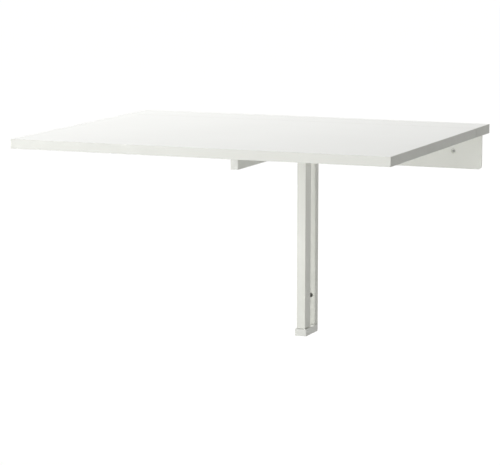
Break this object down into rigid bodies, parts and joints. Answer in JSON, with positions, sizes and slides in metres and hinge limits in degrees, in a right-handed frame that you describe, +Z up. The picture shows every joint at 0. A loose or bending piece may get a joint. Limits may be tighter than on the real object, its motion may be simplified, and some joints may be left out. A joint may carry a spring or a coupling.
{
  "type": "wall mounted drop leaf table",
  "caption": "White wall mounted drop leaf table: a narrow shelf on a steel wall rail, a hinged leaf in front of it and a swing-out steel bracket that holds the leaf level.",
  "frame": {"origin": "on the wall plane, in the middle of the rail's line of wall screw holes", "axes": "+X to the right as seen from the front, +Y into the wall, +Z up; the leaf reaches out along -Y"},
  "size_m": [0.74, 0.6, 0.4368],
  "materials": {
    "board": "white foil on particleboard, satin",
    "edge_band": "white plastic edging, satin",
    "painted_steel": "white powder coat, fine grain",
    "cap_plastic": "moulded white plastic",
    "bearing_plastic": "natural nylon",
    "pad_rubber": "soft grey rubber",
    "plated_steel": "zinc plated"
  },
  "bodies": {
    "wall_frame": {"shelf_board": "board", "shelf_band_left": "edge_band", "shelf_band_right": "edge_band", "shelf_band_front": "edge_band", "wall_rail": "painted_steel", "shelf_screws": "plated_steel", "rear_post": "painted_steel", "post_plug": "bearing_plastic", "post_screws": "plated_steel", "foot_cap": "cap_plastic", "foot_pin": "plated_steel", "foot_washer": "bearing_plastic", "top_washer": "bearing_plastic", "pivot_bolt": "plated_steel", "swing_stop": "plated_steel", "hinge_left_shelf_flap": "plated_steel", "hinge_left_pin": "plated_steel", "hinge_left_shelf_screws": "plated_steel", "hinge_right_shelf_flap": "plated_steel", "hinge_right_pin": "plated_steel", "hinge_right_shelf_screws": "plated_steel"},
    "leaf": {"leaf_board": "board", "leaf_band_left": "edge_band", "leaf_band_right": "edge_band", "leaf_band_rear": "edge_band", "leaf_band_front": "edge_band", "hinge_left_leaf_flap": "plated_steel", "hinge_left_leaf_screws": "plated_steel", "hinge_right_leaf_flap": "plated_steel", "hinge_right_leaf_screws": "plated_steel"},
    "swing_support": {"swing_upright": "painted_steel", "support_arm": "painted_steel", "arm_end_cap": "cap_plastic", "tip_saddle": "bearing_plastic", "tip_pad": "pad_rubber", "upright_top_plug": "bearing_plastic", "upright_foot_plug": "bearing_plastic"}
  },
  "joints": [
    {"name": "leaf_hinge", "type": "hinge", "parent": "wall_frame", "child": "leaf", "pos_m": [0, -0.09, 0.0347], "axis": [-1, 0, 0], "range_deg": [0, 1]},
    {"name": "support_swing", "type": "hinge", "parent": "wall_frame", "child": "swing_support", "pos_m": [0.004, -0.0585, 0], "axis": [0, 0, -1], "range_deg": [0, 90]}
  ]
}
